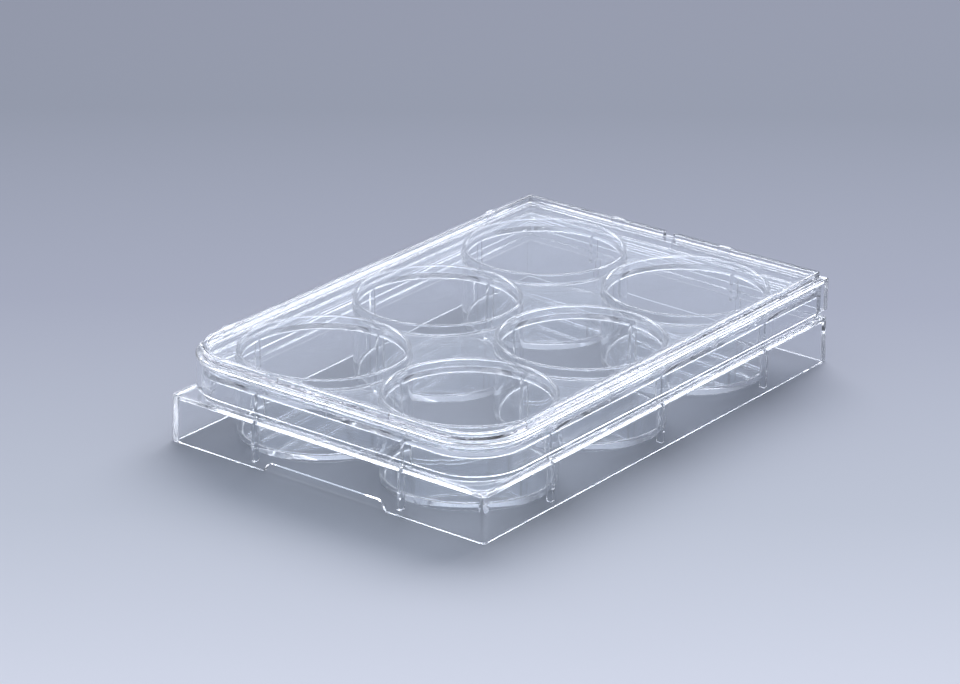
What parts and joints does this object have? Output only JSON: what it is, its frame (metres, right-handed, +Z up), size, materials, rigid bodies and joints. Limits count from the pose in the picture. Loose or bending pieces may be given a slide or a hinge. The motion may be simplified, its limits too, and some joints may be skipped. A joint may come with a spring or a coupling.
{
  "type": "well plate with lid",
  "caption": "Clear plastic culture plate with round wells on a skirted base, under a flat lid with a stacking rim.",
  "frame": {"origin": "middle of the footprint, on the surface the plate stands on", "axes": "+X along the long side, towards the end whose lid has square corners; +Y across; +Z up"},
  "size_m": [0.1278, 0.0854, 0.022],
  "materials": {
    "plate_plastic": "clear polished polystyrene",
    "lid_plastic": "clear polished polystyrene"
  },
  "bodies": {
    "root": {"plate": "plate_plastic", "lid": "lid_plastic"}
  },
  "joints": []
}
